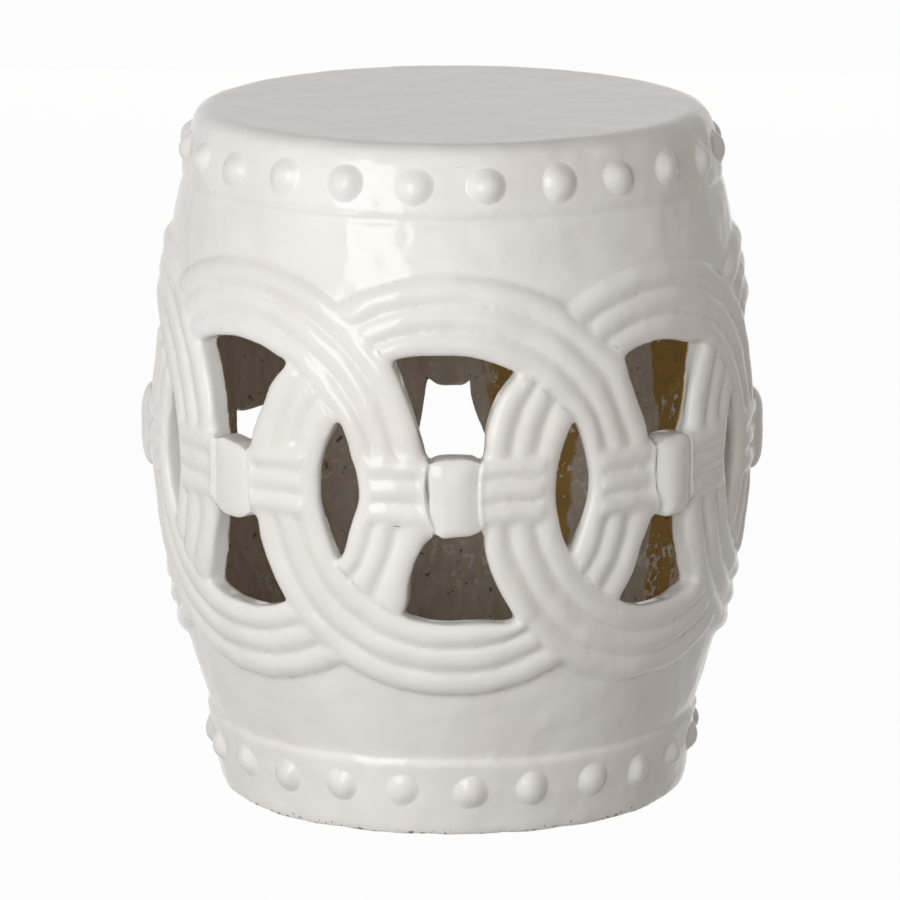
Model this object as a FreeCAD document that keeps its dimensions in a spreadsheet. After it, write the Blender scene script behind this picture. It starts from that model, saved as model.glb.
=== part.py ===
import FreeCAD, Part
import math
import os

import Sketcher
from FreeCAD import Placement, Rotation, Vector

# Ceramic garden stool: a thrown barrel with a pierced belt of interlocking rings.
# Origin at the centre of the foot, +Z up, -Y is the front. All sizes in millimetres.
# The clay pieces are those a potter luts together before the first firing.

os.makedirs("parts", exist_ok=True)
doc = FreeCAD.newDocument("garden_stool")
sheet = doc.addObject("Spreadsheet::Sheet", "sizes")

driving_sizes = {
    # overall form of the barrel
    "belly_height": 245,
    "belly_radius": 197,
    "wall": 12,
    # shoulder above the belly, the collar on it and the seat on that
    "shoulder_rise": 169,
    "shoulder_draw": 18.5,
    "collar_height": 32,
    "collar_step": 0.5,
    "collar_taper": 6,
    "seat_thickness": 14,
    # ankle of the wall and the foot collar under it
    "foot_height": 53,
    "ankle_draw": 33.5,
    "foot_ledge": 2.7,
    "foot_taper": 7.7,
    "foot_edge_height": 6,
    "foot_edge_chamfer": 2,
    # soft groove where each collar meets the wall
    "seam_depth": 1.5,
    "seam_width": 3.5,
    # pierced rings: how far under the belly their centres lie, and half the width of a lens
    "ring_drop": 5,
    "lens_half_width": 10.64,
    "ring_rib_width": 16.6,
    "ring_rise": 5,
    "ring_groove": 1.5,
    "lens_rim": 10,
    # belt that ties the rings together
    "belt_drop": 21,
    "belt_rib_width": 15,
    "belt_rise": 6.5,
    "belt_groove": 3,
    # knots over the belt
    "knot_width": 31,
    "knot_rise": 11.6,
    "knot_lap_above": 3,
    "knot_lap_below": 8,
    "knot_end_round": 8,
    "knot_side_round": 4,
    # nail-head studs
    "upper_stud_lift": 19,
    "upper_stud_radius": 12.5,
    "upper_stud_rise": 5,
    "lower_stud_drop": 21,
    "lower_stud_radius": 12,
    "lower_stud_rise": 4.5,
}

derived_sizes = {
    "axis": "0",
    "shoulder_height": "belly_height + shoulder_rise",
    "shoulder_radius": "belly_radius - shoulder_draw",
    "collar_base_radius": "shoulder_radius - collar_step",
    "collar_top_radius": "collar_base_radius - collar_taper",
    "seat_joint": "shoulder_height + collar_height",
    "stool_height": "seat_joint + seat_thickness",
    "seat_round": "seat_thickness",
    "seat_flat_radius": "collar_top_radius - seat_round",
    "collar_seam_radius": "collar_base_radius - seam_depth",
    "collar_seam_height": "shoulder_height + seam_width",
    "collar_top_inner": "collar_top_radius - wall",
    "shoulder_inner": "shoulder_radius - wall",
    "ankle_radius": "belly_radius - ankle_draw",
    "ankle_inner": "ankle_radius - wall",
    "foot_ledge_radius": "ankle_radius + foot_ledge",
    "foot_edge_radius": "foot_ledge_radius - foot_taper",
    "foot_base_radius": "foot_edge_radius - foot_edge_chamfer",
    "foot_base_inner": "foot_base_radius - wall",
    "foot_seam_radius": "foot_ledge_radius - seam_depth",
    "foot_seam_height": "foot_height - seam_width",
    "belly_inner": "belly_radius - wall",
    "lower_drop": "belly_height - foot_height",
    "lower_arc": "(lower_drop * lower_drop + ankle_draw * ankle_draw) / (2 * ankle_draw)",
    "upper_arc":
        "(shoulder_rise * shoulder_rise + shoulder_draw * shoulder_draw) / (2 * shoulder_draw)",
    "ring_height": "belly_height - ring_drop",
    "ring_inner_radius": "pi * belly_radius / 8 + lens_half_width",
    "ring_outer_radius": "ring_inner_radius + 3 * ring_rib_width",
    "lens_rim_radius": "ring_inner_radius + lens_rim",
    "belt_bottom": "ring_height - belt_drop",
    "belt_seam_low": "belt_bottom + belt_rib_width",
    "belt_seam_high": "belt_bottom + 2 * belt_rib_width",
    "belt_top": "belt_bottom + 3 * belt_rib_width",
    "belt_groove_radius": "belly_radius + belt_groove",
    "belt_sag": "belt_rise - belt_groove",
    "belt_half_rib": "belt_rib_width / 2",
    "belt_rib_arc": "(belt_half_rib * belt_half_rib + belt_sag * belt_sag) / (2 * belt_sag)",
    "knot_face": "belly_radius + knot_rise",
    "knot_bottom": "belt_bottom - knot_lap_below",
    "knot_top": "belt_top + knot_lap_above",
    "upper_stud_height": "shoulder_height + upper_stud_lift",
    "lower_stud_height": "foot_height - lower_stud_drop",
}

sheet_row = 0


def enter_size(alias, content):
    # one row of the sheet: the name in column A, the value in column B
    global sheet_row
    sheet_row += 1
    sheet.set("A%d" % sheet_row, alias)
    sheet.set("B%d" % sheet_row, content)
    sheet.setAlias("B%d" % sheet_row, alias)


for alias, value in driving_sizes.items():
    enter_size(alias, str(value))
for alias, formula in derived_sizes.items():
    enter_size(alias, "=" + formula)
doc.recompute()


def size(alias):
    return float(sheet.get(alias))


rings = 8
ribs = 3
ring_step = 360.0 / rings
studs = 24
stud_step = 360.0 / studs
upper_stud_phase = 7.35
lower_stud_phase = 3.88
vertical = Vector(0, 0, 1)
ring_sections = 36
outline_points = 48
plug_depth_share = 0.66
same_place = 0.01


def about_axis(degrees):
    return Placement(Vector(), Rotation(vertical, degrees))


def origin_plane(body, role):
    return next(item for item in body.Origin.OriginFeatures if item.Role == role)


def arc_between(start, end, radius, side):
    # circular arc from start to end, bulging to the right (+1) or left (-1) of the path
    chord = end - start
    middle = start + chord * 0.5
    depth = math.sqrt(radius * radius - chord.Length * chord.Length / 4)
    right = Vector(chord.y, -chord.x, 0).normalize()
    centre = middle - right * depth * side
    turn_from = math.atan2(start.y - centre.y, start.x - centre.x)
    turn_to = math.atan2(end.y - centre.y, end.x - centre.x)
    circle = Part.Circle(centre, vertical, radius)
    if side > 0:
        return Part.ArcOfCircle(circle, turn_from, turn_to), (1, 2)
    return Part.ArcOfCircle(circle, turn_to, turn_from), (2, 1)


def profile_sketch(body, name, plane, corners, arcs):
    # closed outline through named corners, with an arc where arcs names a radius
    sketch = body.newObject("Sketcher::SketchObject", name)
    sketch.AttachmentSupport = [(origin_plane(body, plane), "")]
    sketch.MapMode = "FlatFace"
    places = [Vector(size(across), size(up), 0) for across, up in corners]
    ends = []
    for index, start in enumerate(places):
        end = places[(index + 1) % len(places)]
        if index in arcs:
            radius, side = arcs[index]
            curve, order = arc_between(start, end, size(radius), side)
        else:
            curve, order = Part.LineSegment(start, end), (1, 2)
        edge = sketch.addGeometry(curve)
        ends.append((edge, order))
    for index, (edge, order) in enumerate(ends):
        next_edge, next_order = ends[(index + 1) % len(ends)]
        sketch.addConstraint(
            Sketcher.Constraint("Coincident", edge, order[1], next_edge, next_order[0]))
    for index, (edge, order) in enumerate(ends):
        place = places[index]
        across, up = corners[index]
        row = sketch.addConstraint(
            Sketcher.Constraint("DistanceX", -1, 1, edge, order[0], place.x))
        sketch.setExpression("Constraints[%d]" % row, "sizes." + across)
        row = sketch.addConstraint(
            Sketcher.Constraint("DistanceY", -1, 1, edge, order[0], place.y))
        sketch.setExpression("Constraints[%d]" % row, "sizes." + up)
    for index, (radius, side) in arcs.items():
        row = sketch.addConstraint(Sketcher.Constraint("Radius", ends[index][0], size(radius)))
        sketch.setExpression("Constraints[%d]" % row, "sizes." + radius)
    return sketch


def turned_body(name, corners, arcs=None, angle=360.0):
    # a piece turned about the stool's axis from its outline of (radius, height) corners
    body = doc.addObject("PartDesign::Body", name)
    sketch = profile_sketch(body, name + "_outline", "XZ_Plane", corners, arcs or {})
    turned = body.newObject("PartDesign::Revolution", name + "_turned")
    turned.Profile = sketch
    turned.ReferenceAxis = (sketch, ["V_Axis"])
    turned.Angle = angle
    turned.Midplane = angle < 360.0
    body.Tip = turned
    return body


def cut(name, base, tool):
    piece = doc.addObject("Part::Cut", name)
    piece.Base = base
    piece.Tool = tool
    return piece


def fixed_shape(name, shape, degrees=0.0):
    # a piece with its own shape, turned to its place round the axis
    piece = doc.addObject("Part::Feature", name)
    piece.Shape = shape
    piece.Placement = about_axis(degrees)
    return piece


# Barrel surface and the map of the rings on it
def wall_radius(height):
    radius = size("lower_arc") if height < size("belly_height") else size("upper_arc")
    offset = height - size("belly_height")
    return size("belly_radius") - radius + math.sqrt(radius * radius - offset * offset)


def ring_direction(distance, turn):
    # angle round the stool and height of a point at a distance from the ring's centre,
    # measured along the surface of the barrel
    height = size("ring_height") + distance * math.sin(turn)
    return distance * math.cos(turn) / wall_radius(height), height


def ring_point(distance, turn, rise):
    around, height = ring_direction(distance, turn)
    reach = wall_radius(height) + rise
    return Vector(reach * math.sin(around), -reach * math.cos(around), height)


def ring_section(turn):
    # section of the ring: three round ribs outside, the smooth wall inside
    near = size("ring_inner_radius")
    far = size("ring_outer_radius")
    rib = size("ring_rib_width")
    inside = -size("wall")
    groove = size("ring_groove")
    crest = size("ring_rise")
    edges = [Part.makeLine(ring_point(near, turn, inside), ring_point(near, turn, groove))]
    for count in range(ribs):
        start = ring_point(near + count * rib, turn, groove)
        top = ring_point(near + (count + 0.5) * rib, turn, crest)
        end = ring_point(near + (count + 1) * rib, turn, groove)
        edges.append(Part.Arc(start, top, end).toShape())
    edges.append(Part.makeLine(ring_point(far, turn, groove), ring_point(far, turn, inside)))
    back = ring_point((near + far) / 2, turn, inside)
    edges.append(Part.Arc(ring_point(far, turn, inside), back,
                          ring_point(near, turn, inside)).toShape())
    return Part.Wire(edges)


def ring_blank():
    step = 2 * math.pi / ring_sections
    wires = [ring_section((count + 0.5) * step) for count in range(ring_sections)]
    return Part.makeLoft(wires, True, False, True)


def window_outline(distance, depth):
    # outline of a round window on an upright plane in front of the axis
    points = []
    for count in range(outline_points):
        around, height = ring_direction(distance, 2 * math.pi * count / outline_points)
        points.append(Vector(depth * math.tan(around), -depth, height))
    curve = Part.BSplineCurve()
    curve.interpolate(points, PeriodicFlag=True)
    return Part.Wire([curve.toShape()])


def window_plug(distance):
    # solid that fills a round window, its sides square to the wall all the way round
    inner_depth = plug_depth_share * size("belly_radius")
    outer_depth = size("belly_radius") + 2 * size("knot_rise")
    outlines = [window_outline(distance, inner_depth), window_outline(distance, outer_depth)]
    return Part.makeLoft(outlines, True, True)


def turned_shape(shape, degrees):
    turned = shape.copy()
    turned.rotate(Vector(), vertical, degrees)
    return turned


# Seat: the flat slab that closes the top, with a rounded rim
seat_slab = turned_body(
    "seat_slab",
    [("axis", "seat_joint"), ("collar_top_radius", "seat_joint"),
     ("seat_flat_radius", "stool_height"), ("axis", "stool_height")],
    {1: ("seat_round", 1)})

# Shoulder collar: the plain band that carries the upper studs
shoulder_collar = turned_body(
    "shoulder_collar",
    [("shoulder_inner", "shoulder_height"), ("collar_seam_radius", "shoulder_height"),
     ("collar_base_radius", "collar_seam_height"), ("collar_top_radius", "seat_joint"),
     ("collar_top_inner", "seat_joint")])

# Foot collar: the band that stands on the floor and carries the lower studs
foot_collar = turned_body(
    "foot_collar",
    [("foot_base_inner", "axis"), ("foot_base_radius", "axis"),
     ("foot_edge_radius", "foot_edge_height"), ("foot_ledge_radius", "foot_seam_height"),
     ("foot_seam_radius", "foot_height"), ("ankle_inner", "foot_height")])

# Plain wall above and below the rings, one ring's share of it to begin with
upper_wall_share = turned_body(
    "upper_wall_share",
    [("belly_inner", "belly_height"), ("belly_radius", "belly_height"),
     ("shoulder_radius", "shoulder_height"), ("shoulder_inner", "shoulder_height")],
    {1: ("upper_arc", 1), 3: ("upper_arc", -1)}, ring_step)
lower_wall_share = turned_body(
    "lower_wall_share",
    [("ankle_inner", "foot_height"), ("ankle_radius", "foot_height"),
     ("belly_radius", "belly_height"), ("belly_inner", "belly_height")],
    {1: ("lower_arc", 1), 3: ("lower_arc", -1)}, ring_step)
for share in (upper_wall_share, lower_wall_share):
    share.Placement = about_axis(ring_step / 2 - 90)

# Belt with its three ribs, from the middle of one ring's window to the next
belt_blank = turned_body(
    "belt_blank",
    [("belly_inner", "belt_bottom"), ("belt_groove_radius", "belt_bottom"),
     ("belt_groove_radius", "belt_seam_low"), ("belt_groove_radius", "belt_seam_high"),
     ("belt_groove_radius", "belt_top"), ("belly_inner", "belt_top")],
    {1: ("belt_rib_arc", 1), 2: ("belt_rib_arc", 1), 3: ("belt_rib_arc", 1)},
    2 * ring_step)
belt_blank.Placement = about_axis(-90)
doc.recompute()

# Windows of the rings: the outer edge of the ring, its inner edge, and the rim by the lens
outer_plug = window_plug(size("ring_outer_radius"))
inner_plug = window_plug(size("ring_inner_radius"))
rim_plug = window_plug(size("lens_rim_radius"))

# Scalloped walls: each share stops at the two rings beside it, then eight shares close up
near_plug = fixed_shape("near_ring_plug", outer_plug)
next_plug = fixed_shape("next_ring_plug", outer_plug, ring_step)
upper_sector = cut("upper_wall_sector", cut("upper_wall_near", upper_wall_share, near_plug), next_plug)
lower_sector = cut("lower_wall_sector", cut("lower_wall_near", lower_wall_share, near_plug), next_plug)
doc.recompute()


def closed_wall(name, sector):
    shares = [turned_shape(sector.Shape, count * ring_step) for count in range(rings)]
    return fixed_shape(name, shares[0].multiFuse(shares[1:]).removeSplitter())


shoulder_wall = closed_wall("shoulder_wall", upper_sector)
foot_wall = closed_wall("foot_wall", lower_sector)

# Straps of one ring: it dips under its left neighbour above and its right neighbour below
reach = 2 * size("belly_radius")
band = outer_plug.cut(inner_plug)
above = Part.makeBox(2 * reach, 2 * reach, reach, Vector(-reach, -reach, size("ring_height")))
below = above.copy()
below.translate(Vector(0, 0, -reach))
left_band = turned_shape(band, -ring_step).common(above)
right_band = turned_shape(band, ring_step).common(below)
belt_space = Part.makeBox(
    2 * reach, reach, ribs * size("belt_rib_width"), Vector(-reach, -reach, size("belt_bottom")))
belt_notch = belt_space.cut(rim_plug)
straps = ring_blank().cut([left_band, right_band, belt_notch]).Solids
straps.sort(key=lambda solid: solid.CenterOfMass.z)
lower_strap, upper_strap = straps

# Belt between two lenses, and the knot rolled over it
left_rim = fixed_shape("left_rim_plug", rim_plug, -ring_step)
right_rim = fixed_shape("right_rim_plug", rim_plug, ring_step)
belt = cut("belt", cut("belt_left", belt_blank, left_rim), right_rim)

knot_block = doc.addObject("PartDesign::Body", "knot_block")
knot_outline = profile_sketch(
    knot_block, "knot_outline", "XZ_Plane",
    [("belly_inner", "knot_bottom"), ("knot_face", "knot_bottom"),
     ("knot_face", "knot_top"), ("belly_inner", "knot_top")], {})
knot_pad = knot_block.newObject("PartDesign::Pad", "knot_pad")
knot_pad.Profile = knot_outline
knot_pad.setExpression("Length", "sizes.knot_width")
knot_pad.Midplane = True
doc.recompute()


def edge_names(shape, wanted):
    return ["Edge%d" % (count + 1) for count, edge in enumerate(shape.Edges) if wanted(edge)]


def on_face(edge):
    return abs(edge.CenterOfMass.x - size("knot_face")) < same_place


def is_upright(edge):
    return edge.BoundBox.ZLength > 1


knot_ends = knot_block.newObject("PartDesign::Fillet", "knot_ends")
knot_ends.Base = (knot_pad, edge_names(
    knot_pad.Shape, lambda edge: on_face(edge) and not is_upright(edge)))
knot_ends.setExpression("Radius", "sizes.knot_end_round")
doc.recompute()
knot_sides = knot_block.newObject("PartDesign::Fillet", "knot_sides")
knot_sides.Base = (knot_ends, edge_names(
    knot_ends.Shape, lambda edge: on_face(edge) and is_upright(edge)))
knot_sides.setExpression("Radius", "sizes.knot_side_round")
knot_block.Tip = knot_sides
knot_block.Placement = about_axis(-90)
knot = cut("knot", knot_block, belt_blank)


# Studs: low domes luted to the face of each collar
def stud(name, low, high):
    # low and high are the (radius, height) ends of the collar's straight face
    height = size(name + "_height")
    rise = size(name + "_rise")
    ball = (size(name + "_radius") ** 2 + rise ** 2) / (2 * rise)
    slope = (size(high[0]) - size(low[0])) / (size(high[1]) - size(low[1]))
    face = size(low[0]) + slope * (height - size(low[1]))
    lean = math.atan(-slope)
    depth = ball - rise
    sphere = doc.addObject("Part::Sphere", name + "_ball")
    sphere.Radius = ball
    sphere.Placement = Placement(
        Vector(0, depth * math.cos(lean) - face, height - depth * math.sin(lean)), Rotation())
    bed = doc.addObject("Part::Cone", name + "_bed")
    bed.Radius1 = face - 2 * ball * slope
    bed.Radius2 = face + 2 * ball * slope
    bed.Height = 4 * ball
    bed.Placement = Placement(Vector(0, 0, height - 2 * ball), Rotation())
    return cut(name, sphere, bed)


upper_stud = stud("upper_stud", ("collar_base_radius", "collar_seam_height"),
                  ("collar_top_radius", "seat_joint"))
lower_stud = stud("lower_stud", ("foot_edge_radius", "foot_edge_height"),
                  ("foot_ledge_radius", "foot_seam_height"))
doc.recompute()


def stud_row(name, one, phase):
    copies = [turned_shape(one.Shape.Solids[0], phase + count * stud_step) for count in range(studs)]
    return fixed_shape(name, Part.makeCompound(copies))


pieces = [seat_slab, shoulder_collar, shoulder_wall, foot_wall, foot_collar]
pieces.append(stud_row("shoulder_studs", upper_stud, upper_stud_phase))
pieces.append(stud_row("foot_studs", lower_stud, lower_stud_phase))
for count in range(rings):
    number = count + 1
    place = count * ring_step
    pieces.append(fixed_shape("upper_strap_%d" % number, upper_strap, place))
    pieces.append(fixed_shape("lower_strap_%d" % number, lower_strap, place))
    pieces.append(fixed_shape("belt_%d" % number, belt.Shape.Solids[0], place))
    pieces.append(fixed_shape("knot_%d" % number, knot.Shape.Solids[0], place))
doc.recompute()

# Check every object, then write one file for each piece
for item in doc.Objects:
    if "Invalid" in item.State or "Error" in item.State:
        raise RuntimeError("%s did not compute: %s" % (item.Name, item.State))
total = 0.0
for piece in pieces:
    shape = piece.Shape
    if shape.isNull() or not shape.isValid() or not shape.Solids:
        raise RuntimeError("%s has no valid solid" % piece.Label)
    total += shape.Volume
    print("%-18s %2d solid(s) %9.1f cm3" % (piece.Label, len(shape.Solids), shape.Volume / 1000))
    shape.exportStep("parts/%s.step" % piece.Label)
print("%d pieces, %.0f cm3 of clay" % (len(pieces), total / 1000))
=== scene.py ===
import bpy
import math
import numpy as np
from mathutils import Matrix, Vector
from mathutils.bvhtree import BVHTree


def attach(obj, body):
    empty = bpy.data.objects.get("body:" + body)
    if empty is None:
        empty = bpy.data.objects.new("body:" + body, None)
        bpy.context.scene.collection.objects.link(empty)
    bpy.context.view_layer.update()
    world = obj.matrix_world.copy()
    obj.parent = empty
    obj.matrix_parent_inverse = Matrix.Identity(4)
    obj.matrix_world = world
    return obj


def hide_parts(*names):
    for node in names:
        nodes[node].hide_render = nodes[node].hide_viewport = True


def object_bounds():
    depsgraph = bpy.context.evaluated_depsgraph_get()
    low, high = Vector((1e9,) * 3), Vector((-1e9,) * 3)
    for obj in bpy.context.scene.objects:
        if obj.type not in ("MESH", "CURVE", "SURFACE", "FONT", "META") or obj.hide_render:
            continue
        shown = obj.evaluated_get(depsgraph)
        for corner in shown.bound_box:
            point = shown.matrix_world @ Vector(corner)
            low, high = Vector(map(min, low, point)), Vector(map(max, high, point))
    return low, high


# A white glazed garden stool: slabs, straps and a belt of clay luted together and fired as one.
# The pieces are first run together as wet clay does, then parted again along their joints.
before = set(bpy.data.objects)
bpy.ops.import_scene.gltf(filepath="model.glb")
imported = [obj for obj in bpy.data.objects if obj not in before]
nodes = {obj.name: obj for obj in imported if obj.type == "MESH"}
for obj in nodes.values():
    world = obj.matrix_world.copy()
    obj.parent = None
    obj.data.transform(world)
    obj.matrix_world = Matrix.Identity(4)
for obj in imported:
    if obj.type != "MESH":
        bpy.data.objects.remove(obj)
cadLow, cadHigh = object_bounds()
mm = 0.001

stoolSizes = {
    "bellyHeight": 245 * mm,
    "bellyRadius": 197 * mm,
    "footHeight": 53 * mm,
    "ankleRadius": 163.5 * mm,
    "shoulderHeight": 414 * mm,
    "shoulderRadius": 178.5 * mm,
    "seatJoint": 446 * mm,
    "wall": 12 * mm,
    "rings": 8,
}
clayWork = {
    "grain": (1.55 * mm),  # size of the faces that the clay is made of
    "softening": 0.5,
    "softenings": 10,
    "knotSoftenings": 90,  # knots are rolls of soft clay, rounder than the rest
    "beltSoftenings": 12,
    "hollowReach": 24,
    "swayWidth": 95 * mm,  # the slow, uneven swell of hand-built walls
    "sway": 2.6 * mm,
    "dentWidth": 24 * mm,  # finger marks
    "dent": 1.7 * mm,
    "seatShare": 0.2,  # the seat was smoothed flat with a board
    "seatSink": 1.4 * mm,  # keeps the swell of the seat within the stool's height
}


# Small helpers
def only(*objects):
    bpy.ops.object.select_all(action="DESELECT")
    for item in objects:
        item.select_set(True)
    bpy.context.view_layer.objects.active = objects[0]


def copyOf(source, name, degrees=0.0):
    twin = source.copy()
    twin.data = source.data.copy()
    twin.name = name
    twin.parent = None
    twin.data.transform(Matrix.Rotation(math.radians(degrees), 4, "Z"))
    bpy.context.collection.objects.link(twin)
    return twin


def joined(name, pieces):
    only(*pieces)
    if len(pieces) > 1:
        bpy.ops.object.join()
    whole = bpy.context.object
    whole.name = name
    return whole


def finished(piece, kind, **settings):
    only(piece)
    modifier = piece.modifiers.new(kind, kind)
    for key, value in settings.items():
        setattr(modifier, key, value)
    bpy.ops.object.modifier_apply(modifier=modifier.name)
    return piece


def carved(piece, operation, tool):
    return finished(piece, "BOOLEAN", operation=operation, object=tool, solver="MANIFOLD")


def discard(*objects):
    for item in objects:
        bpy.data.objects.remove(item)


def looseParts(piece):
    # the piece falls into its separate lumps, lowest first
    only(piece)
    bpy.ops.object.mode_set(mode="EDIT")
    bpy.ops.mesh.separate(type="LOOSE")
    bpy.ops.object.mode_set(mode="OBJECT")
    lumps = list(bpy.context.selected_objects)
    lumps.sort(key=lambda lump: np.mean(pointsOf(lump)[:, 2]))
    return lumps


def pointsOf(piece):
    flat = np.empty(len(piece.data.vertices) * 3, np.float32)
    piece.data.vertices.foreach_get("co", flat)
    return flat.reshape(-1, 3).astype(float)


def placePoints(piece, points):
    piece.data.vertices.foreach_set("co", points.astype(np.float32).ravel())
    piece.data.update()


# Barrel wall and the map of the rings that is wrapped round it
def arcRadius(drop, draw):
    return (drop * drop + draw * draw) / (2 * draw)


lowerArc = arcRadius(stoolSizes["bellyHeight"] - stoolSizes["footHeight"],
                     stoolSizes["bellyRadius"] - stoolSizes["ankleRadius"])
upperArc = arcRadius(stoolSizes["shoulderHeight"] - stoolSizes["bellyHeight"],
                     stoolSizes["bellyRadius"] - stoolSizes["shoulderRadius"])


def wallRadius(heights):
    heights = np.asarray(heights, float)
    offset = heights - stoolSizes["bellyHeight"]
    arc = np.where(offset < 0, lowerArc, upperArc)
    return stoolSizes["bellyRadius"] - arc + np.sqrt(np.maximum(arc * arc - offset * offset, 0))


footOutline = {
    "heights": [0, 6 * mm, 49.5 * mm, 53 * mm],
    "radii": [156.5 * mm, 158.5 * mm, 166.2 * mm, 164.7 * mm],
}


def outerRadius(height):
    foot = np.interp(height, footOutline["heights"], footOutline["radii"])
    return np.where(height < stoolSizes["footHeight"], foot, wallRadius(height))


def roundTheStool(points):
    # angle from the front, reach from the axis and height of each point
    return np.arctan2(points[:, 0], -points[:, 1]), np.hypot(points[:, 0], points[:, 1]), points[:, 2]


def fade(values, start, end):
    share = np.clip((values - start) / (end - start), 0, 1)
    return share * share * (3 - 2 * share)


softZones = {
    "reach": (190 * mm, 196 * mm),  # only what lies further out than this is softened more
    "belt": {"middle": 241.5 * mm, "across": (66 * mm, 58 * mm), "up": (31 * mm, 24 * mm)},
    "knot": {"middle": 239 * mm, "across": (25 * mm, 18 * mm), "up": (38 * mm, 31 * mm)},
}


def softenBelt(clay):
    # the belt's ribs are shallow and fade out at the lenses, and the knots are rounder still
    around, reach, height = roundTheStool(pointsOf(clay))
    rings = stoolSizes["rings"]
    sideways = np.abs(np.angle(np.exp(1j * around * rings))) / rings * reach
    for name in ("belt", "knot"):
        zone = softZones[name]
        upward = np.abs(height - zone["middle"])
        weight = fade(sideways, *zone["across"]) * fade(upward, *zone["up"])
        weight = weight * fade(reach, *softZones["reach"])
        group = clay.vertex_groups.new(name=name)
        for index in np.nonzero(weight > 0.02)[0]:
            group.add([int(index)], float(weight[index]), "REPLACE")
        finished(clay, "SMOOTH", factor=0.5, iterations=clayWork[name + "Softenings"], vertex_group=name)
    clay.vertex_groups.clear()


def markHollows(clay):
    # millimetres that each point lies below (or, negative, above) its softened surroundings
    softer = finished(copyOf(clay, "softer"), "SMOOTH", factor=0.5, iterations=clayWork["hollowReach"])
    normals = np.empty(len(clay.data.vertices) * 3, np.float32)
    clay.data.vertex_normals.foreach_get("vector", normals)
    depth = np.sum((pointsOf(softer) - pointsOf(clay)) * normals.reshape(-1, 3), 1) / mm
    mark = clay.data.attributes.new("hollow", "FLOAT", "POINT")
    mark.data.foreach_set("value", depth.astype(np.float32))
    discard(softer)


# Wet clay: every node but the studs, run together and softened
def wetClay():
    lumps = []
    for name in sorted(nodes):
        if "studs" in name:
            continue
        lump = copyOf(nodes[name], "lump_" + name)
        only(lump)
        bpy.ops.object.mode_set(mode="EDIT")
        bpy.ops.mesh.select_all(action="SELECT")
        bpy.ops.mesh.remove_doubles(threshold=0.001 * mm)
        bpy.ops.object.mode_set(mode="OBJECT")
        lumps.append(lump)
    clay = joined("clay", lumps)
    clay.data.materials.clear()
    finished(clay, "REMESH", mode="VOXEL", voxel_size=clayWork["grain"])
    finished(clay, "SMOOTH", factor=clayWork["softening"], iterations=clayWork["softenings"])
    softenBelt(clay)
    markHollows(clay)
    return clay


# Cutting shapes along the joints
ringCut = {
    "centre": 240 * mm,
    "inner": 88 * mm,
    "outer": 137.8 * mm,
    "innerClear": 84 * mm,  # stays off the clay, inside the ring's window
    "outerJoint": 138.8 * mm,  # foot of the small fillet between ring and wall
    "rim": 98 * mm,
    "near": 130 * mm,  # plugs run from here to there, away from the axis
    "far": 232 * mm,
    "points": 160,
}
beltCut = {"bottom": 219 * mm, "top": 264 * mm, "clear": 5 * mm}
knotCut = {"halfWidth": 16.6 * mm, "bottom": 205 * mm, "top": 273 * mm, "back": 183 * mm,
           "skin": 201 * mm}


def plug(name, distance, degrees=0.0):
    bpy.ops.object.select_all(action="DESELECT")
    bpy.ops.mesh.primitive_cylinder_add(
        vertices=ringCut["points"], radius=distance, depth=1, rotation=(math.pi / 2, 0, 0),
        location=(0, 0, ringCut["centre"]))
    tool = bpy.context.object
    bpy.ops.object.transform_apply(location=True, rotation=True, scale=True)
    points = pointsOf(tool)
    around = points[:, 0] / wallRadius(points[:, 2])
    depth = np.where(points[:, 1] > 0, ringCut["near"], ringCut["far"])
    points[:, 0] = depth * np.tan(around)
    points[:, 1] = -depth
    placePoints(tool, points)
    tool.data.transform(Matrix.Rotation(math.radians(degrees), 4, "Z"))
    tool.name = name
    return tool


def slab(name, low, high, halfWidth=0.4, front=-0.4, back=-0.05):
    bpy.ops.object.select_all(action="DESELECT")
    bpy.ops.mesh.primitive_cube_add(
        size=1, location=(0, (front + back) / 2, (low + high) / 2),
        scale=(2 * halfWidth, back - front, high - low))
    tool = bpy.context.object
    bpy.ops.object.transform_apply(location=True, rotation=True, scale=True)
    tool.name = name
    return tool


def drum(name, radius, low, high):
    bpy.ops.object.select_all(action="DESELECT")
    bpy.ops.mesh.primitive_cylinder_add(vertices=256, radius=radius, depth=high - low,
                                        location=(0, 0, (low + high) / 2))
    tool = bpy.context.object
    bpy.ops.object.transform_apply(location=True, rotation=True, scale=True)
    tool.name = name
    return tool


def ringBand(name, inner, outer, degrees):
    band = plug(name, ringCut[outer], degrees)
    hole = plug("hole", ringCut[inner], degrees)
    carved(band, "DIFFERENCE", hole)
    discard(hole)
    return band


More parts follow.
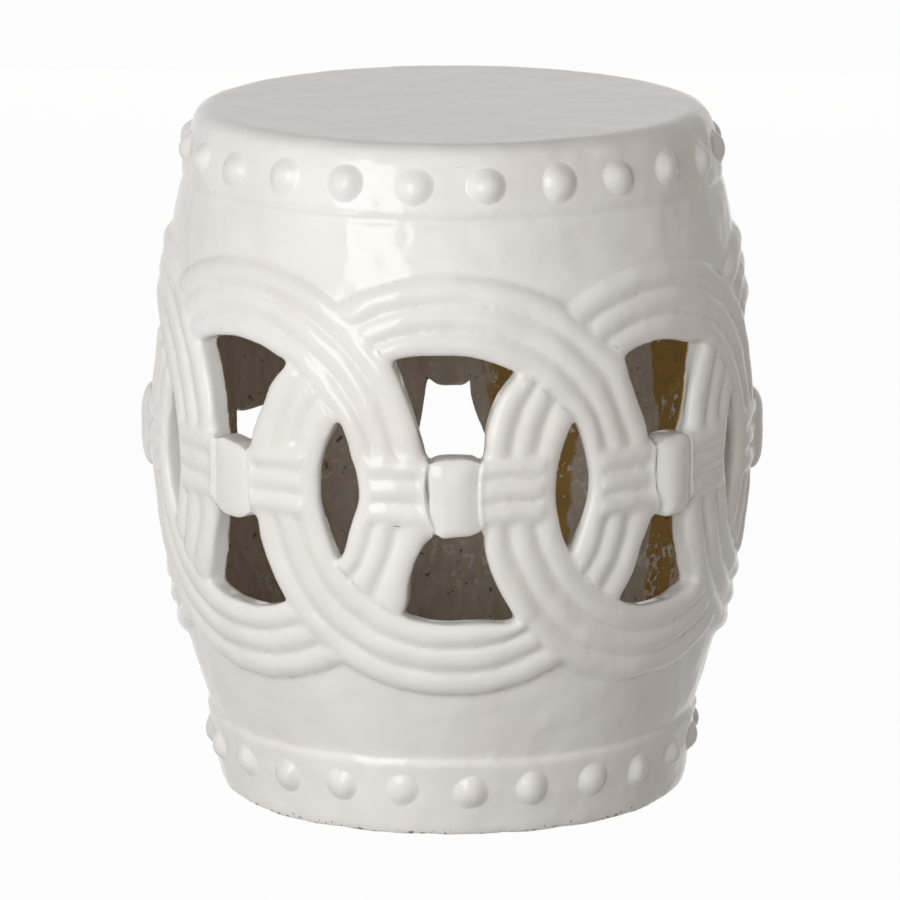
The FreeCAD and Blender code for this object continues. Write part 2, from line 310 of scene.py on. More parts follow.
def strapCell(name, number):
    # room of one ring, less what lies over it and the belt
    step = 360 / stoolSizes["rings"]
    place = number * step
    cell = ringBand(name, "innerClear", "outerJoint", place)
    own = ringBand("own", "inner", "outer", place)
    middle = ringCut["centre"]
    for side in (-1, 1):
        beside = place + side * step
        band = ringBand("band", "inner", "outer", beside)
        guard = ringBand("guard", "innerClear", "outerJoint", beside)
        over = slab("over", middle, 0.5) if side < 0 else slab("over", -0.1, middle)
        under = slab("under", -0.1, middle) if side < 0 else slab("under", middle, 0.5)
        for half in (over, under):
            half.data.transform(Matrix.Rotation(math.radians(place), 4, "Z"))
        carved(guard, "DIFFERENCE", own)
        coverBand = carved(copyOf(band, "coverBand"), "INTERSECT", over)
        coverEdge = carved(guard, "INTERSECT", over)
        lapped = carved(carved(band, "DIFFERENCE", own), "INTERSECT", under)
        for tool in (coverBand, coverEdge, lapped):
            carved(cell, "DIFFERENCE", tool)
        discard(coverBand, coverEdge, lapped, over, under)
    notch = slab("notch", beltCut["bottom"], beltCut["top"])
    notch.data.transform(Matrix.Rotation(math.radians(place), 4, "Z"))
    rim = plug("rim", ringCut["rim"], place)
    carved(notch, "DIFFERENCE", rim)
    carved(cell, "DIFFERENCE", notch)
    discard(notch, rim, own)
    return cell


def beltCell():
    cell = slab("beltCell", beltCut["bottom"] - beltCut["clear"], beltCut["top"] + beltCut["clear"],
                0.09, -0.3, -0.13)
    step = 360 / stoolSizes["rings"]
    for side in (-1, 1):
        rim = plug("rim", ringCut["rim"], side * step)
        strap = strapCell("strap", side)
        carved(cell, "DIFFERENCE", rim)
        carved(cell, "DIFFERENCE", strap)
        discard(rim, strap)
    return cell


def knotCell():
    cell = slab("knotCell", knotCut["bottom"], knotCut["top"], knotCut["halfWidth"],
                -0.3, -knotCut["back"])
    core = drum("core", knotCut["skin"], beltCut["bottom"] - 0.4 * mm, beltCut["top"] + 0.4 * mm)
    carved(cell, "DIFFERENCE", core)
    discard(core)
    return cell


print("stage: frame loaded")
clay = wetClay()
print("stage: clay softened,", len(clay.data.polygons), "faces")


# The clay parted along its joints, one closed piece for each node
def largest(lumps, count):
    lumps.sort(key=lambda lump: len(lump.data.vertices))
    discard(*lumps[:-count])
    kept = lumps[-count:]
    kept.sort(key=lambda lump: np.mean(pointsOf(lump)[:, 2]))
    return kept


def layer(source, name, low, high):
    room = drum("room", 0.25, low, high)
    piece = carved(copyOf(source, name), "INTERSECT", room)
    discard(room)
    return piece


def partedWalls():
    step = 360 / stoolSizes["rings"]
    plugs = plug("plugs", ringCut["outerJoint"])
    for number in range(1, stoolSizes["rings"]):
        more = plug("more", ringCut["outerJoint"], number * step)
        carved(plugs, "UNION", more)
        discard(more)
    walls = carved(copyOf(clay, "walls"), "DIFFERENCE", plugs)
    lower, upper = largest(looseParts(walls), 2)
    pieces = {
        "seat_slab": layer(upper, "seatSlab", stoolSizes["seatJoint"], 0.5),
        "shoulder_collar": layer(upper, "shoulderCollar", stoolSizes["shoulderHeight"],
                                 stoolSizes["seatJoint"]),
        "shoulder_wall": layer(upper, "shoulderWall", 0.2, stoolSizes["shoulderHeight"]),
        "foot_wall": layer(lower, "footWall", stoolSizes["footHeight"], 0.3),
        "foot_collar": layer(lower, "footCollar", -0.1, stoolSizes["footHeight"]),
    }
    discard(lower, upper, plugs)
    return pieces


def partedLattice():
    front = slab("front", 95 * mm, 385 * mm, 0.17, -0.3, -0.08)
    share = carved(copyOf(clay, "share"), "INTERSECT", front)
    straps = carved(copyOf(share, "straps"), "INTERSECT", strapCell("strapRoom", 0))
    lowerStrap, upperStrap = largest(looseParts(straps), 2)
    lowerStrap.name, upperStrap.name = "lowerStrap", "upperStrap"
    belt = carved(copyOf(share, "belt"), "INTERSECT", beltCell())
    knot = carved(copyOf(share, "knot"), "INTERSECT", knotCell())
    carved(belt, "DIFFERENCE", bpy.data.objects["knotCell"])
    belt, = largest(looseParts(belt), 1)
    knot, = largest(looseParts(knot), 1)
    belt.name, knot.name = "belt", "knot"
    discard(share, front)
    for name in ("strapRoom", "beltCell", "knotCell"):
        discard(bpy.data.objects[name])
    return {"upper_strap": upperStrap, "lower_strap": lowerStrap, "belt": belt, "knot": knot}


pieces = partedWalls()
print("stage: walls parted", {name: len(piece.data.polygons) for name, piece in pieces.items()})
lattice = partedLattice()
print("stage: lattice parted", {name: len(piece.data.polygons) for name, piece in lattice.items()})


# Handwork: the slow sway of the walls, finger dents, and the windows as the knife left them
def cloudTexture(name, width):
    texture = bpy.data.textures.new(name, "CLOUDS")
    texture.cloud_type = "COLOR"
    texture.noise_scale = width
    texture.noise_depth = 1
    return texture


swayTexture = cloudTexture("sway", clayWork["swayWidth"])
dentTexture = cloudTexture("dent", clayWork["dentWidth"])

# angle round the stool and height of a spot, how far its push reaches across and up, then
# the push across and up: degrees for the angle, millimetres for the rest
pushes = [
    # front windows
    (-11, 322, 18, 14, 0, 3.5), (11, 318, 16, 12, 3.5, -2.5), (0, 267, 32, 12, 3, -4),
    (-5, 216, 12, 12, 6, -3), (5, 216, 10, 10, 2, -2), (-10, 163, 16, 14, 5.5, -3),
    (10.5, 163, 16, 14, 5.5, -7.5),
    # windows at the left
    (-55, 321, 16, 14, -2.4, 0), (-33.5, 320, 16, 12, 2.4, -1.6), (-44, 268, 24, 14, -1, -5.5),
    (-38.5, 266, 12, 14, -4.5, -2),
    # windows at the right
    (33, 321, 16, 12, 4, 1.5), (50, 326, 16, 14, 5, -4), (42, 268, 28, 12, 3, -1.5),
    (50, 190, 14, 24, -4, 0),
    # lenses in front
    (-18.5, 242, 15, 34, 6.8, 0), (-21.5, 201, 14, 14, 1, -6.5), (-22.4, 281, 14, 14, 2.5, 2.2),
    (24.3, 247, 12, 34, 4, 0), (22, 281, 14, 14, 2, 2.2), (22.6, 197, 14, 14, 1, -1.5),
    # the roll at the right leans
    (40, 216, 10, 12, 6, 0),
    # the belt climbs at the back, where the windows are ragged too
    (-160, 240, 180, 60, 0, 18), (134, 216, 30, 14, 0, -13), (134, 270, 30, 14, 0, 10),
    (180, 218, 24, 12, 0, 3), (171, 214, 14, 18, 11, 0), (-131, 208, 14, 20, 11, 0),
]
# the same for the edges of the openings that look into the stool, where the knife slanted
insidePushes = [
    (-26, 240, 10, 36, -5, 0), (25, 247, 12, 36, 9, 0), (50, 298, 14, 30, 11, 0),
    (71, 240, 10, 36, 6, 0),
]
for hiddenLens in (67.5, 112.5, 157.5, 202.5, 247.5, 292.5):  # a little wider, as those in view
    pushes += [(hiddenLens + 3.2, 240, 12, 34, 4.5, 0), (hiddenLens - 3.2, 240, 12, 34, -3, 0)]

knotForm = {
    "middle": 239 * mm,
    "halfWidth": 16.5 * mm,
    "halfHeight": 31 * mm,
    "beltSkin": 200.5 * mm,  # distance of the belt's skin from the axis, on which the knots lie
    "sideDrop": 0.6,
    "endDrop": 0.4,
    "corner": 5.5 * mm,
    # how much of its height each knot kept when it was pressed on, from the front one to the right
    "kept": [0.55, 0.95, 0.9, 0.75, 0.9, 0.7, 0.95, 0.36],
}
collarForm = {
    "bottom": 411.5 * mm,
    "full": 416 * mm,  # proud from here to "ebbs", then level with the seat's edge at "top"
    "ebbs": 440 * mm,
    "top": 452 * mm,
    "proud": 1.2 * mm,
    "line": 411 * mm,  # the groove below the collar
    "lineWidth": 2.6 * mm,
    "lineDepth": 0.7 * mm,
}
handZones = {
    "outerFace": (8 * mm, 3 * mm),  # depths below the skin between which a change fades in
    "innerEdge": (2 * mm, 11 * mm),
    "board": (450 * mm, 456 * mm),  # heights between which the seat becomes flat
    "sink": 12 * mm,
}
insideZone = {"starts": 0.55, "spread": 0.4, "ceiling": 4 * mm}  # first two are shares of the wall


def pressKnots(around, reach, height):
    # the rolls are crowned, with round ends
    rings = stoolSizes["rings"]
    sideways = np.abs(np.angle(np.exp(1j * around * rings))) / rings * reach / knotForm["halfWidth"]
    upward = np.abs(height - knotForm["middle"]) / knotForm["halfHeight"]
    zone = fade(sideways, 1.12, 0.98) * fade(upward, 1.3, 1.08)
    number = np.round(around * rings / (2 * math.pi)).astype(int) % rings
    kept = np.array(knotForm["kept"])[number]
    side, end = np.clip(sideways, 0, 1), np.clip(upward, 0, 1)
    crown = (1 - knotForm["sideDrop"] * side ** 2.2) * (1 - knotForm["endDrop"] * end ** 3)
    proud = np.maximum(reach - knotForm["beltSkin"], 0)
    corner = knotForm["corner"] * side ** 3 * fade(upward, 0.68, 1.0) * zone
    return (reach + proud * zone * (kept * crown - 1),
            height - np.sign(height - knotForm["middle"]) * corner)


def collarRelief(height):
    proud = fade(height, collarForm["bottom"], collarForm["full"]) \
        * fade(height, collarForm["top"], collarForm["ebbs"])
    line = np.exp(-((height - collarForm["line"]) / collarForm["lineWidth"]) ** 2)
    return collarForm["proud"] * proud - collarForm["lineDepth"] * line


def handWorked(piece):
    flat = pointsOf(piece)[:, 2]
    for texture, strength in ((swayTexture, clayWork["sway"]), (dentTexture, clayWork["dent"])):
        finished(piece, "DISPLACE", texture=texture, texture_coords="LOCAL",
                 direction="RGB_TO_XYZ", mid_level=0.5, strength=strength)
    around, reach, height = roundTheStool(pointsOf(piece))
    skin = outerRadius(height)
    starts, full = handZones["outerFace"]
    reach = reach + fade(reach, skin - starts, skin - full) * collarRelief(height)
    board = fade(flat, *handZones["board"])
    height = height + board * (1 - clayWork["seatShare"]) * (flat - height)
    reach, height = pressKnots(around, reach, height)
    startAround, startHeight = around, height
    belly = stoolSizes["bellyRadius"]
    skin = outerRadius(height)
    starts, full = handZones["innerEdge"]
    depth = fade(reach, skin - starts, skin - full)
    for share, moves in ((1, pushes), (depth, insidePushes)):
        for degrees, level, spreadAcross, spreadUp, across, up in moves:
            away = np.angle(np.exp(1j * (startAround - math.radians(degrees)))) * belly
            rise = startHeight - level * mm
            strength = share * np.exp(-(away / (spreadAcross * mm)) ** 2 - (rise / (spreadUp * mm)) ** 2)
            around = around + strength * across * mm / belly
            height = height + strength * up * mm
    swell = np.clip((height - stoolSizes["seatJoint"]) / handZones["sink"], 0, 1)
    height = height - clayWork["seatSink"] * swell
    height = np.clip(height, cadLow[2], cadHigh[2])
    reach = np.minimum(reach, cadHigh[0] - 0.1 * mm)
    placePoints(piece, np.stack([reach * np.sin(around), -reach * np.cos(around), height], 1))
    return piece


def markInside(piece):
    # 0 on the outer face, 1 where the clay looks into the hollow stool
    points = pointsOf(piece)
    reach = np.hypot(points[:, 0], points[:, 1])
    depth = (outerRadius(points[:, 2]) - reach) / stoolSizes["wall"]
    ceiling = insideZone["ceiling"]
    under = np.clip((stoolSizes["seatJoint"] + ceiling - points[:, 2]) / ceiling, 0, 1)
    inside = np.clip((depth - insideZone["starts"]) / insideZone["spread"], 0, 1) * under
    mark = piece.data.attributes.new("inside", "FLOAT", "POINT")
    mark.data.foreach_set("value", inside.astype(np.float32))


# Studs: thick clay buttons pressed on by hand, no two quite alike, each one laid on the collar
studForms = {
    "count": 24,
    "steps": 44,
    "sunk": 3 * mm,
    "collarRadius": 172 * mm,
    # kept: how much of its rise a stud kept, by its number from the front, to the right
    "upper": {"radius": 13 * mm, "rise": 5.9 * mm, "height": 433 * mm, "lean": 11.9, "phase": 7.35,
              "seed": 4, "kept": {23: 0.75, 22: 0.9, 21: 0.75, 20: 0.85, 11: 0.7}},
    "lower": {"radius": 12.6 * mm, "rise": 5.4 * mm, "height": 32 * mm, "lean": -10.0, "phase": 3.88,
              "seed": 9, "kept": {0: 0.85, 23: 0.55, 22: 0.8, 14: 0.6}},
}


def studProfile(form):
    # half section from the sunk foot to the crown: (distance from the middle, height)
    outline = [(form["radius"], -studForms["sunk"])]
    for share in (1.0, 0.96, 0.91, 0.85, 0.78, 0.7, 0.6, 0.5, 0.38, 0.25, 0.1):
        crown = form["rise"] * (1 - share ** 2.5) ** 1.85
        outline.append((form["radius"] * share, crown - 0.08 * mm * share))
    return outline


def oneStud(name, form):
    bpy.ops.object.select_all(action="DESELECT")
    bpy.ops.mesh.primitive_circle_add(vertices=studForms["steps"], radius=1, fill_type="NGON")
    stud = bpy.context.object
    stud.name = name
    outline = studProfile(form)
    only(stud)
    bpy.ops.object.mode_set(mode="EDIT")
    bpy.ops.mesh.select_all(action="SELECT")
    bpy.ops.transform.resize(value=(outline[0][0],) * 3)
    bpy.ops.transform.translate(value=(0, 0, outline[0][1]))
    for (reach, height), (nextReach, nextHeight) in zip(outline, outline[1:]):
        bpy.ops.mesh.extrude_region_move(
            TRANSFORM_OT_translate={"value": (0, 0, nextHeight - height)})
        bpy.ops.transform.resize(value=(nextReach / reach, nextReach / reach, 1),
                                 center_override=(0, 0, 0))
    bpy.ops.mesh.select_all(action="SELECT")
    bpy.ops.mesh.normals_make_consistent(inside=False)
    bpy.ops.object.mode_set(mode="OBJECT")
    return stud


def studRow(name, form, bed):
    # each stud's own wobble first, then every point is laid on the collar below it
    model = oneStud(name + "Model", form)
    surface = BVHTree.FromObject(bed, bpy.context.evaluated_depsgraph_get())
    chance = np.random.default_rng(form["seed"])
    lean = math.radians(form["lean"])
    row = []
    for count in range(studForms["count"]):
        twin = copyOf(model, name + "One")
        points = pointsOf(twin)
        turn = np.arctan2(points[:, 1], points[:, 0])
        lobes = 1 + 0.035 * np.cos(2 * turn + chance.uniform(0, 6.28)) \
            + 0.02 * np.cos(3 * turn + chance.uniform(0, 6.28))
        tilt = chance.uniform(-0.05, 0.05, 2)
        sideways = points[:, 0] * lobes * chance.uniform(0.93, 1.04)
        upward = points[:, 1] * lobes * chance.uniform(0.93, 1.04)
        crown = fade(points[:, 2], 0, form["rise"])
        kept = form["kept"].get(count, 1) * chance.uniform(0.9, 1.06)
        rise = points[:, 2] * np.where(points[:, 2] > 0, kept, 1)
        rise = rise + crown * (sideways * tilt[0] + upward * tilt[1])
        swing = math.radians(form["phase"] + count * 360 / studForms["count"] + chance.uniform(-0.5, 0.5))
        level = form["height"] + chance.uniform(-0.8, 0.8) * mm
        for index in range(len(points)):
            angle = swing + sideways[index] / studForms["collarRadius"]
            out = Vector((math.sin(angle), -math.cos(angle), 0))
            outward = out * math.cos(lean) + Vector((0, 0, math.sin(lean)))
            start = out * 0.3 + Vector((0, 0, level + upward[index] * math.cos(lean)))
            hit = surface.ray_cast(start, -out)[0]
            points[index] = hit + outward * rise[index]
        placePoints(twin, points)
        row.append(twin)
    discard(model, bed)
    return joined(name, row)


# Materials
def hexColour(code):
    channels = [int(code[place:place + 2], 16) / 255 for place in (1, 3, 5)]
    return tuple(c / 12.92 if c <= 0.04045 else ((c + 0.055) / 1.055) ** 2.4 for c in channels) + (1,)


def addNode(tree, kind, settings=None, links=None):
    node = tree.nodes.new(kind)
    for key, value in (settings or {}).items():
        if isinstance(key, str) and hasattr(node, key):
            setattr(node, key, value)
        else:
            node.inputs[key].default_value = value
    for key, source in (links or {}).items():
        tree.links.new(source, node.inputs[key])
    return node


def blankMaterial(name):
    material = bpy.data.materials.new(name)
    material.use_nodes = True
    material.node_tree.nodes.clear()
    return material, material.node_tree


glaze = {
    "milk": "#EEEDEB",
    "cream": "#E7E4E0",
    # grey of glaze pooled in the grooves, together with the shade painted there
    "pooled": "#CFC8BB",
    "thin": "#E3DACB",
    "roughness": 0.13,
    "cloudWidth": 70,  # millimetres, as are the widths below
    "peelWidth": 5,
    "peelDepth": 0.14,
    "swellWidth": 13,
    "swellDepth": 0.6,
}
# pinholes and specks of iron in the glaze: angle, height, distance from the axis, width, colour
flecks = [
    (16.6, 260.4, 203, 0.9, "#5B4630"), (32.3, 277.3, 201, 0.8, "#6B5640"),
    (32.9, 217.2, 203, 0.9, "#4E4136"), (49, 360.5, 192, 1.6, "#7E5A34"),
    (29.1, 420.5, 178, 0.7, "#4A3C30"), (-25.1, 81, 174, 1.3, "#3A2A1E"),
    (-48.5, 55, 166, 1.0, "#C77A35"), (152, 395, 182, 0.9, "#5B4630"),
    (-128, 98, 179, 1.1, "#4A3626"),
]
bareClay = {
    "ochre": "#CDA65A",
    "umber": "#9C7A44",
    "slip": "#BBAB97",
    "wash": "#E4DCD0",
    "spatter": "#ECE8E0",
    "pit": "#4A3A22",
    "rust": "#8A5F3C",
    "roughness": 0.7,
    "washWidth": 75,
    "spatterWidth": 5,
    "clusterWidth": 40,
    "pitWidth": 5,
    "mottleWidth": 16.67,
    "streakWidth": 6.667,
    "raggedWidth": 14.29,
    "rimWidth": 3.333,
}
# where the clay inside stayed dry, and so ochre: degrees from the back, to the right, and how dry
dryBands = [
    (-75, 0.2), (-45, 0.05), (-27, 0.1), (-21, 0.8), (-15, 0.1), (2, 0.1), (10, 0.75), (16, 0.35),
    (25, 0.85), (32, 0.6), (38, 0.1), (46, 0.2), (53, 0.95), (62, 0.9), (75, 0.5),
]


# White glazed stoneware: dipped in a tin-white glaze and fired, so it is glossy and milky,
# a little grey in the hollows, pooled glaze and painted shade in one, and warm where it ran thin. The
# inside was left bare.
def glazedStoneware():
    material, tree = blankMaterial("whiteGlazedStoneware")
    place = addNode(tree, "ShaderNodeTexCoord").outputs["Object"]
    inside = addNode(tree, "ShaderNodeAttribute", {"attribute_name": "inside"}).outputs["Fac"]
    hollow = addNode(tree, "ShaderNodeAttribute", {"attribute_name": "hollow"}).outputs["Fac"]
    parted = addNode(tree, "ShaderNodeSeparateXYZ", None, {"Vector": place})
    level = parted.outputs["Z"]

    # the glaze: milky clouds, a warm grey in the hollows, which is pooled glaze and painted shade in one,
    # and warmer where it ran thin over an edge
    clouds = addNode(tree, "ShaderNodeTexNoise", {"Scale": 1000 / glaze["cloudWidth"], "Detail": 3},
                     {"Vector": place})
    cloudRamp = addNode(tree, "ShaderNodeMapRange", {"From Min": 0.35, "From Max": 0.65},
                        {"Value": clouds.outputs["Fac"]})
    milk = addNode(tree, "ShaderNodeMix",
                   {"data_type": "RGBA", 6: hexColour(glaze["milk"]), 7: hexColour(glaze["cream"])},
                   {"Factor": cloudRamp.outputs["Result"]})
    # painted shade: the deeper a point lies in a groove, the greyer it is painted, as pooled glaze and as
    # the shade that falls there
    pooledGlazeAndShadeAmount = addNode(tree, "ShaderNodeMapRange",
                           {"From Min": 0.15, "From Max": 0.9, "To Max": 0.75}, {"Value": hollow})
    pooled = addNode(tree, "ShaderNodeMix", {"data_type": "RGBA", 7: hexColour(glaze["pooled"])},
                     {"Factor": pooledGlazeAndShadeAmount.outputs["Result"], 6: milk.outputs[2]})
    thinAmount = addNode(tree, "ShaderNodeMapRange",
                         {"From Min": -0.3, "From Max": -0.9, "To Max": 0.4}, {"Value": hollow})
    thin = addNode(tree, "ShaderNodeMix", {"data_type": "RGBA", 7: hexColour(glaze["thin"])},
                   {"Factor": thinAmount.outputs["Result"], 6: pooled.outputs[2]})

    # flecks with frayed outlines, which don't show as yet: they are placed from output 2 of the mix
    # below, and its vector is output 1
    fray = addNode(tree, "ShaderNodeTexNoise", {"Scale": 700, "Detail": 1}, {"Vector": place})
    frayed = addNode(tree, "ShaderNodeMix", {"data_type": "VECTOR", "Factor": 0.0006},
                     {4: place, 5: fray.outputs["Color"]})
    outside = thin.outputs[2]
    for degrees, height, reach, width, tone in flecks:
        turn = math.radians(degrees)
        spot = (reach * mm * math.sin(turn), -reach * mm * math.cos(turn), height * mm)
        away = addNode(tree, "ShaderNodeVectorMath", {"operation": "DISTANCE", 1: spot},
                       {0: frayed.outputs[2]})
        near = addNode(tree, "ShaderNodeMapRange",
                       {"From Min": 1.15 * width * mm, "From Max": 0.7 * width * mm},
                       {"Value": away.outputs["Value"]})
        fleck = addNode(tree, "ShaderNodeMix", {"data_type": "RGBA", 7: hexColour(tone)},
                        {"Factor": near.outputs["Result"], 6: outside})
        outside = fleck.outputs[2]

    # rust where the foot's rim was wiped bare
    rimNoise = addNode(tree, "ShaderNodeTexNoise", {"Scale": 1000 / bareClay["rimWidth"], "Detail": 5},
                       {"Vector": place})
    rimHeight = addNode(tree, "ShaderNodeMath", {"operation": "MULTIPLY_ADD", 1: 30 * mm, 2: -16.4 * mm},
                        {0: rimNoise.outputs["Fac"]})
    rimBare = addNode(tree, "ShaderNodeMath", {"operation": "SUBTRACT"},
                      {0: rimHeight.outputs[0], 1: level})
    rimAmount = addNode(tree, "ShaderNodeMapRange", {"From Min": -1.2 * mm, "From Max": 0.4 * mm},
                        {"Value": rimBare.outputs[0]})
    rim = addNode(tree, "ShaderNodeMix", {"data_type": "RGBA", 7: hexColour(bareClay["rust"])},
                  {"Factor": rimAmount.outputs["Result"], 6: outside})

    # bare clay inside: ochre where it stayed dry, which is more so higher up
    stretched = addNode(tree, "ShaderNodeMapping", {"Scale": (1, 1, 0.35)}, {"Vector": place})
    washNoise = addNode(tree, "ShaderNodeTexNoise",
                        {"Scale": 1000 / bareClay["washWidth"], "Detail": 5, "Roughness": 0.62},
                        {"Vector": stretched.outputs["Vector"]})
    turned = addNode(tree, "ShaderNodeMath", {"operation": "ARCTAN2"},
                     {0: parted.outputs["X"], 1: parted.outputs["Y"]})
    turnShare = addNode(tree, "ShaderNodeMapRange", {"From Min": -math.pi, "From Max": math.pi},
                        {"Value": turned.outputs[0]})
    dryness = addNode(tree, "ShaderNodeValToRGB", None, {"Fac": turnShare.outputs["Result"]})
    stops = dryness.color_ramp.elements
    stops[0].position, stops[1].position = 0, 1
    stops[0].color = stops[1].color = (0.45, 0.45, 0.45, 1)
    for degrees, amount in dryBands:
        stop = stops.new(0.5 + degrees / 360)
        stop.color = (amount, amount, amount, 1)
    drier = addNode(tree, "ShaderNodeMath", {"operation": "MULTIPLY_ADD", 1: 2.2},
                    {0: washNoise.outputs["Fac"], 2: dryness.outputs["Color"]})
    higher = addNode(tree, "ShaderNodeMath", {"operation": "MULTIPLY_ADD", 1: 3.0},
                     {0: level, 2: drier.outputs[0]})
    washAmount = addNode(tree, "ShaderNodeMapRange", {"From Min": 2.35, "From Max": 2.28},
                         {"Value": higher.outputs[0]})
    mottle = addNode(tree, "ShaderNodeTexNoise", {"Scale": 1000 / bareClay["mottleWidth"], "Detail": 5},
                     {"Vector": place})
    ochre = addNode(tree, "ShaderNodeMix",
                    {"data_type": "RGBA", 6: hexColour(bareClay["umber"]), 7: hexColour(bareClay["ochre"])},
                    {"Factor": mottle.outputs["Fac"]})
    streaks = addNode(tree, "ShaderNodeTexNoise", {"Scale": 1000 / bareClay["streakWidth"], "Detail": 4},
                      {"Vector": stretched.outputs["Vector"]})
    grey = addNode(tree, "ShaderNodeMix",
                   {"data_type": "RGBA", 6: hexColour(bareClay["slip"]), 7: hexColour(bareClay["wash"])},
                   {"Factor": streaks.outputs["Fac"]})
    washed = addNode(tree, "ShaderNodeMix", {"data_type": "RGBA"},
                     {"Factor": washAmount.outputs["Result"], 6: ochre.outputs[2], 7: grey.outputs[2]})

    # spatters of glaze in clusters, and pits
    spatter = addNode(tree, "ShaderNodeTexNoise",
                      {"Scale": 1000 / bareClay["spatterWidth"], "Detail": 4}, {"Vector": place})
    cluster = addNode(tree, "ShaderNodeTexNoise",
                      {"Scale": 1000 / bareClay["clusterWidth"], "Detail": 1}, {"Vector": place})
    spatterAmount = addNode(tree, "ShaderNodeMath", {"operation": "MULTIPLY_ADD", 1: 0.8},
                            {0: cluster.outputs["Fac"], 2: spatter.outputs["Fac"]})
    spatterEdge = addNode(tree, "ShaderNodeMapRange", {"From Min": 1.05, "From Max": 1.1, "To Max": 0.85},
                          {"Value": spatterAmount.outputs["Value"]})
    spattered = addNode(tree, "ShaderNodeMix", {"data_type": "RGBA", 7: hexColour(bareClay["spatter"])},
                        {"Factor": spatterEdge.outputs["Result"], 6: washed.outputs[2]})
    pits = addNode(tree, "ShaderNodeTexNoise", {"Scale": 1000 / bareClay["pitWidth"], "Detail": 2},
                   {"Vector": place})
    pitAmount = addNode(tree, "ShaderNodeMapRange", {"From Min": 0.33, "From Max": 0.27, "To Max": 0.8},
                        {"Value": pits.outputs["Fac"]})
    gritty = addNode(tree, "ShaderNodeMix", {"data_type": "RGBA", 7: hexColour(bareClay["pit"])},
                     {"Factor": pitAmount.outputs["Result"], 6: spattered.outputs[2]})

    # the glaze stops raggedly where the clay turns inwards
    ragged = addNode(tree, "ShaderNodeTexNoise", {"Scale": 1000 / bareClay["raggedWidth"], "Detail": 3},
                     {"Vector": place})
    edge = addNode(tree, "ShaderNodeMath", {"operation": "MULTIPLY_ADD", 1: 0.9},
                   {0: ragged.outputs["Fac"], 2: inside})
    bare = addNode(tree, "ShaderNodeMapRange", {"From Min": 1.05, "From Max": 1.25},
                   {"Value": edge.outputs["Value"]})
    colour = addNode(tree, "ShaderNodeMix", {"data_type": "RGBA"},
                     {"Factor": bare.outputs["Result"], 6: rim.outputs[2], 7: gritty.outputs[2]})
    gloss = addNode(tree, "ShaderNodeMapRange",
                    {"To Min": glaze["roughness"], "To Max": bareClay["roughness"]},
                    {"Value": bare.outputs["Result"]})

    # uneven thickness of the glaze, less so on the seat, and a fine orange peel
    unevenness = addNode(tree, "ShaderNodeMapRange",
                         {"From Min": 446 * mm, "From Max": 454 * mm, "To Min": 0.6, "To Max": 0.1},
                         {"Value": level})
    swell = addNode(tree, "ShaderNodeTexNoise", {"Scale": 1000 / glaze["swellWidth"], "Detail": 1.5},
                    {"Vector": place})
    swellBump = addNode(tree, "ShaderNodeBump", {"Distance": glaze["swellDepth"] * mm},
                        {"Height": swell.outputs["Fac"], "Strength": unevenness.outputs["Result"]})
    peel = addNode(tree, "ShaderNodeTexNoise", {"Scale": 1000 / glaze["peelWidth"], "Detail": 1.5},
                   {"Vector": place})
    peelBump = addNode(tree, "ShaderNodeBump", {"Strength": 0.4, "Distance": glaze["peelDepth"] * mm},
                       {"Height": peel.outputs["Fac"], "Normal": swellBump.outputs["Normal"]})
    shader = addNode(tree, "ShaderNodeBsdfPrincipled", {"IOR": 1.5},
                     {"Base Color": colour.outputs[2], "Roughness": gloss.outputs["Result"],
                      "Normal": peelBump.outputs["Normal"]})
    addNode(tree, "ShaderNodeOutputMaterial", None, {"Surface": shader.outputs["BSDF"]})
    return material


# Every piece in its place and finished, and the nodes that it stands for hidden
stoneware = glazedStoneware()


def settled(piece, name, *standsFor):
    piece.name = name
    piece.data.materials.clear()
    piece.data.materials.append(stoneware)
    only(piece)
    bpy.ops.object.mode_set(mode="EDIT")
    bpy.ops.mesh.select_all(action="SELECT")
    bpy.ops.mesh.dissolve_degenerate(threshold=0.004 * mm)  # slivers that the cuts left
    bpy.ops.object.mode_set(mode="OBJECT")
    bpy.ops.object.shade_smooth_by_angle(angle=math.radians(50))
    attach(piece, "root")
    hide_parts(*standsFor)


for node, piece in pieces.items():
    markInside(piece)
    handWorked(piece)
    settled(piece, piece.name, node)
for node, model in lattice.items():
    for count in range(stoolSizes["rings"]):
        title = "%s%d" % (model.name, count + 1)
        twin = copyOf(model, title, count * 360 / stoolSizes["rings"])
        markInside(twin)
        handWorked(twin)
        settled(twin, title, "%s_%d" % (node, count + 1))
    discard(model)
discard(clay)
for name, node, row, bedNodes in (
        ("shoulderStuds", "shoulder_studs", "upper", ("seat_slab", "shoulder_collar")),
        ("footStuds", "foot_studs", "lower", ("foot_wall", "foot_collar"))):
    bed = joined("bed", [copyOf(pieces[bedNode], "bed") for bedNode in bedNodes])
    settled(studRow(name, studForms[row], bed), name, node)
print("stage: pieces settled")


# Camera, as fitted to the photograph: a long lens from 3.5 m, looking a little down
cameraPlace = {
    "position": (-1.4 * mm, -3500 * mm, 1033.8 * mm),
    "down": 13.05,
    "lens": 214.0,
    "sensor": 36,
}
bpy.ops.object.camera_add(location=cameraPlace["position"],
                          rotation=(math.radians(90 - cameraPlace["down"]), 0, 0))
camera = bpy.context.object
camera.data.lens = cameraPlace["lens"]
camera.data.sensor_width = cameraPlace["sensor"]
camera.data.clip_end = 30
bpy.context.scene.camera = camera
bpy.context.scene.view_settings.view_transform = "Standard"


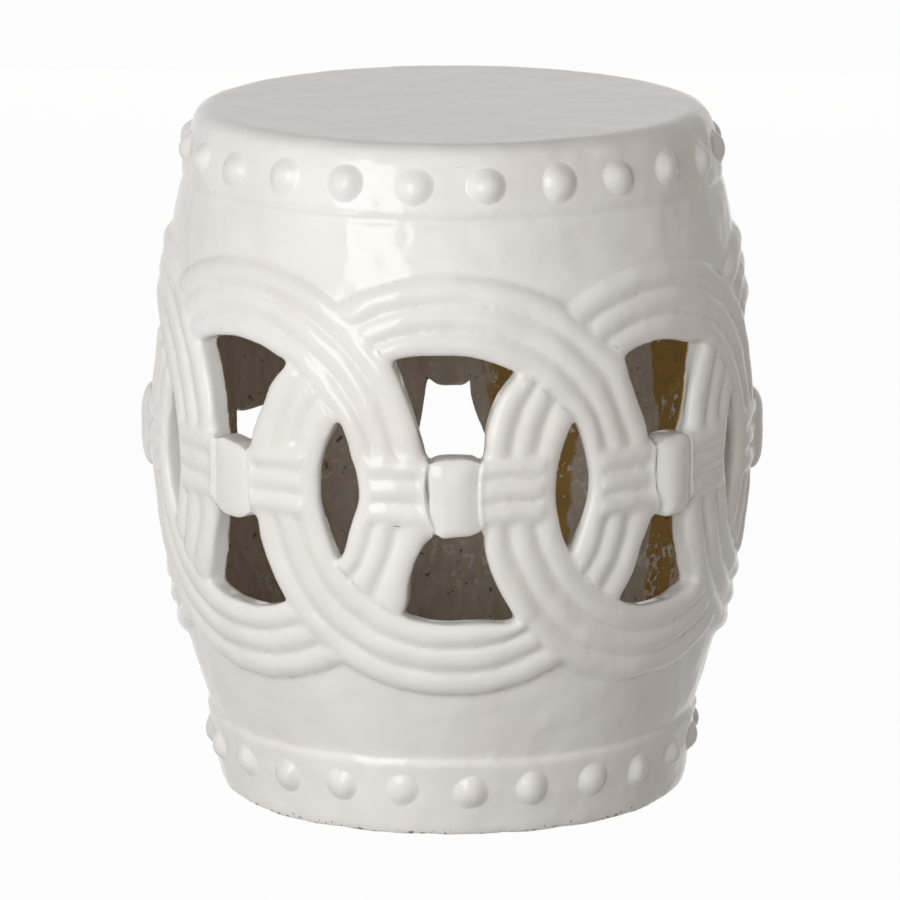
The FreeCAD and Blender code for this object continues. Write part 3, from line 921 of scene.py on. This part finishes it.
# Studio: a pale floor, one tall softbox at the left, and broad bounces from all sides
def softbox(name, azimuth, elevation, distance, wide, tall, power, colour):
    swing, lift = math.radians(azimuth), math.radians(elevation)
    aim = Vector((0, 0, 0.24))
    away = Vector((math.sin(swing) * math.cos(lift), -math.cos(swing) * math.cos(lift), math.sin(lift)))
    bpy.ops.object.light_add(type="AREA", location=aim + away * distance)
    box = bpy.context.object
    box.name = name
    box.rotation_euler = away.to_track_quat("Z", "Y").to_euler()
    box.data.shape = "RECTANGLE"
    box.data.size = wide
    box.data.size_y = tall
    box.data.energy = power
    box.data.color = hexColour(colour)[:3]
    return box


softbox("keySoftbox", -32, 14, 2.4, 0.95, 1.5, 15, "#FFFFFF")
for name, azimuth, elevation, distance, size, power, colour in (
        ("leftFill", -65, 5, 3.0, 1.7, 27, "#FFFFFF"), ("frontFill", -2, 5, 3.0, 1.7, 38, "#FFFFFF"),
        ("topFill", -8, 50, 1.5, 0.7, 2.0, "#FFFFFF"), ("rightFill", 80, 6, 2.6, 1.1, 2.5, "#FFE2C8"),
        ("backFill", 178, 3, 3.0, 1.7, 30, "#FFFFFF")):
    # broad bounces off the studio's walls, too soft to mirror in the glaze
    softbox(name, azimuth, elevation, distance, size, size, power, colour).visible_glossy = False


def seenDirectly(tree):
    # 1 for rays that come straight from the camera, a mirror or a pane
    path = addNode(tree, "ShaderNodeLightPath")
    first = addNode(tree, "ShaderNodeMath", {"operation": "MAXIMUM"},
                    {0: path.outputs["Is Camera Ray"], 1: path.outputs["Is Glossy Ray"]})
    return addNode(tree, "ShaderNodeMath", {"operation": "MAXIMUM"},
                   {0: first.outputs[0], 1: path.outputs["Is Transmission Ray"]}).outputs[0]


world = bpy.data.worlds.new("studio")
bpy.context.scene.world = world
world.use_nodes = True
world.node_tree.nodes.clear()
dim = addNode(world.node_tree, "ShaderNodeBackground", {"Color": hexColour("#FFECDA"), "Strength": 0.13})
white = addNode(world.node_tree, "ShaderNodeBackground", {"Color": (1, 1, 1, 1), "Strength": 1})
either = addNode(world.node_tree, "ShaderNodeMixShader", None,
                 {"Fac": seenDirectly(world.node_tree), 1: dim.outputs[0], 2: white.outputs[0]})
addNode(world.node_tree, "ShaderNodeOutputWorld", None, {"Surface": either.outputs[0]})


def paleFloor():
    material, tree = blankMaterial("paleFloor")
    lit = addNode(tree, "ShaderNodeBsdfDiffuse", {"Color": hexColour("#A09C96")})
    glow = addNode(tree, "ShaderNodeEmission", {"Color": (1, 1, 1, 1), "Strength": 1})
    share = addNode(tree, "ShaderNodeMath", {"operation": "MULTIPLY", 1: 0.975}, {0: seenDirectly(tree)})
    both = addNode(tree, "ShaderNodeMixShader", None,
                   {"Fac": share.outputs[0], 1: lit.outputs[0], 2: glow.outputs[0]})
    addNode(tree, "ShaderNodeOutputMaterial", None, {"Surface": both.outputs[0]})
    return material


bpy.ops.object.select_all(action="DESELECT")
bpy.ops.mesh.primitive_plane_add(size=16, location=(0, 0, 0))
floor = bpy.context.object
floor.name = "studioFloor"
floor.data.materials.append(paleFloor())
print("stage: studio lit")
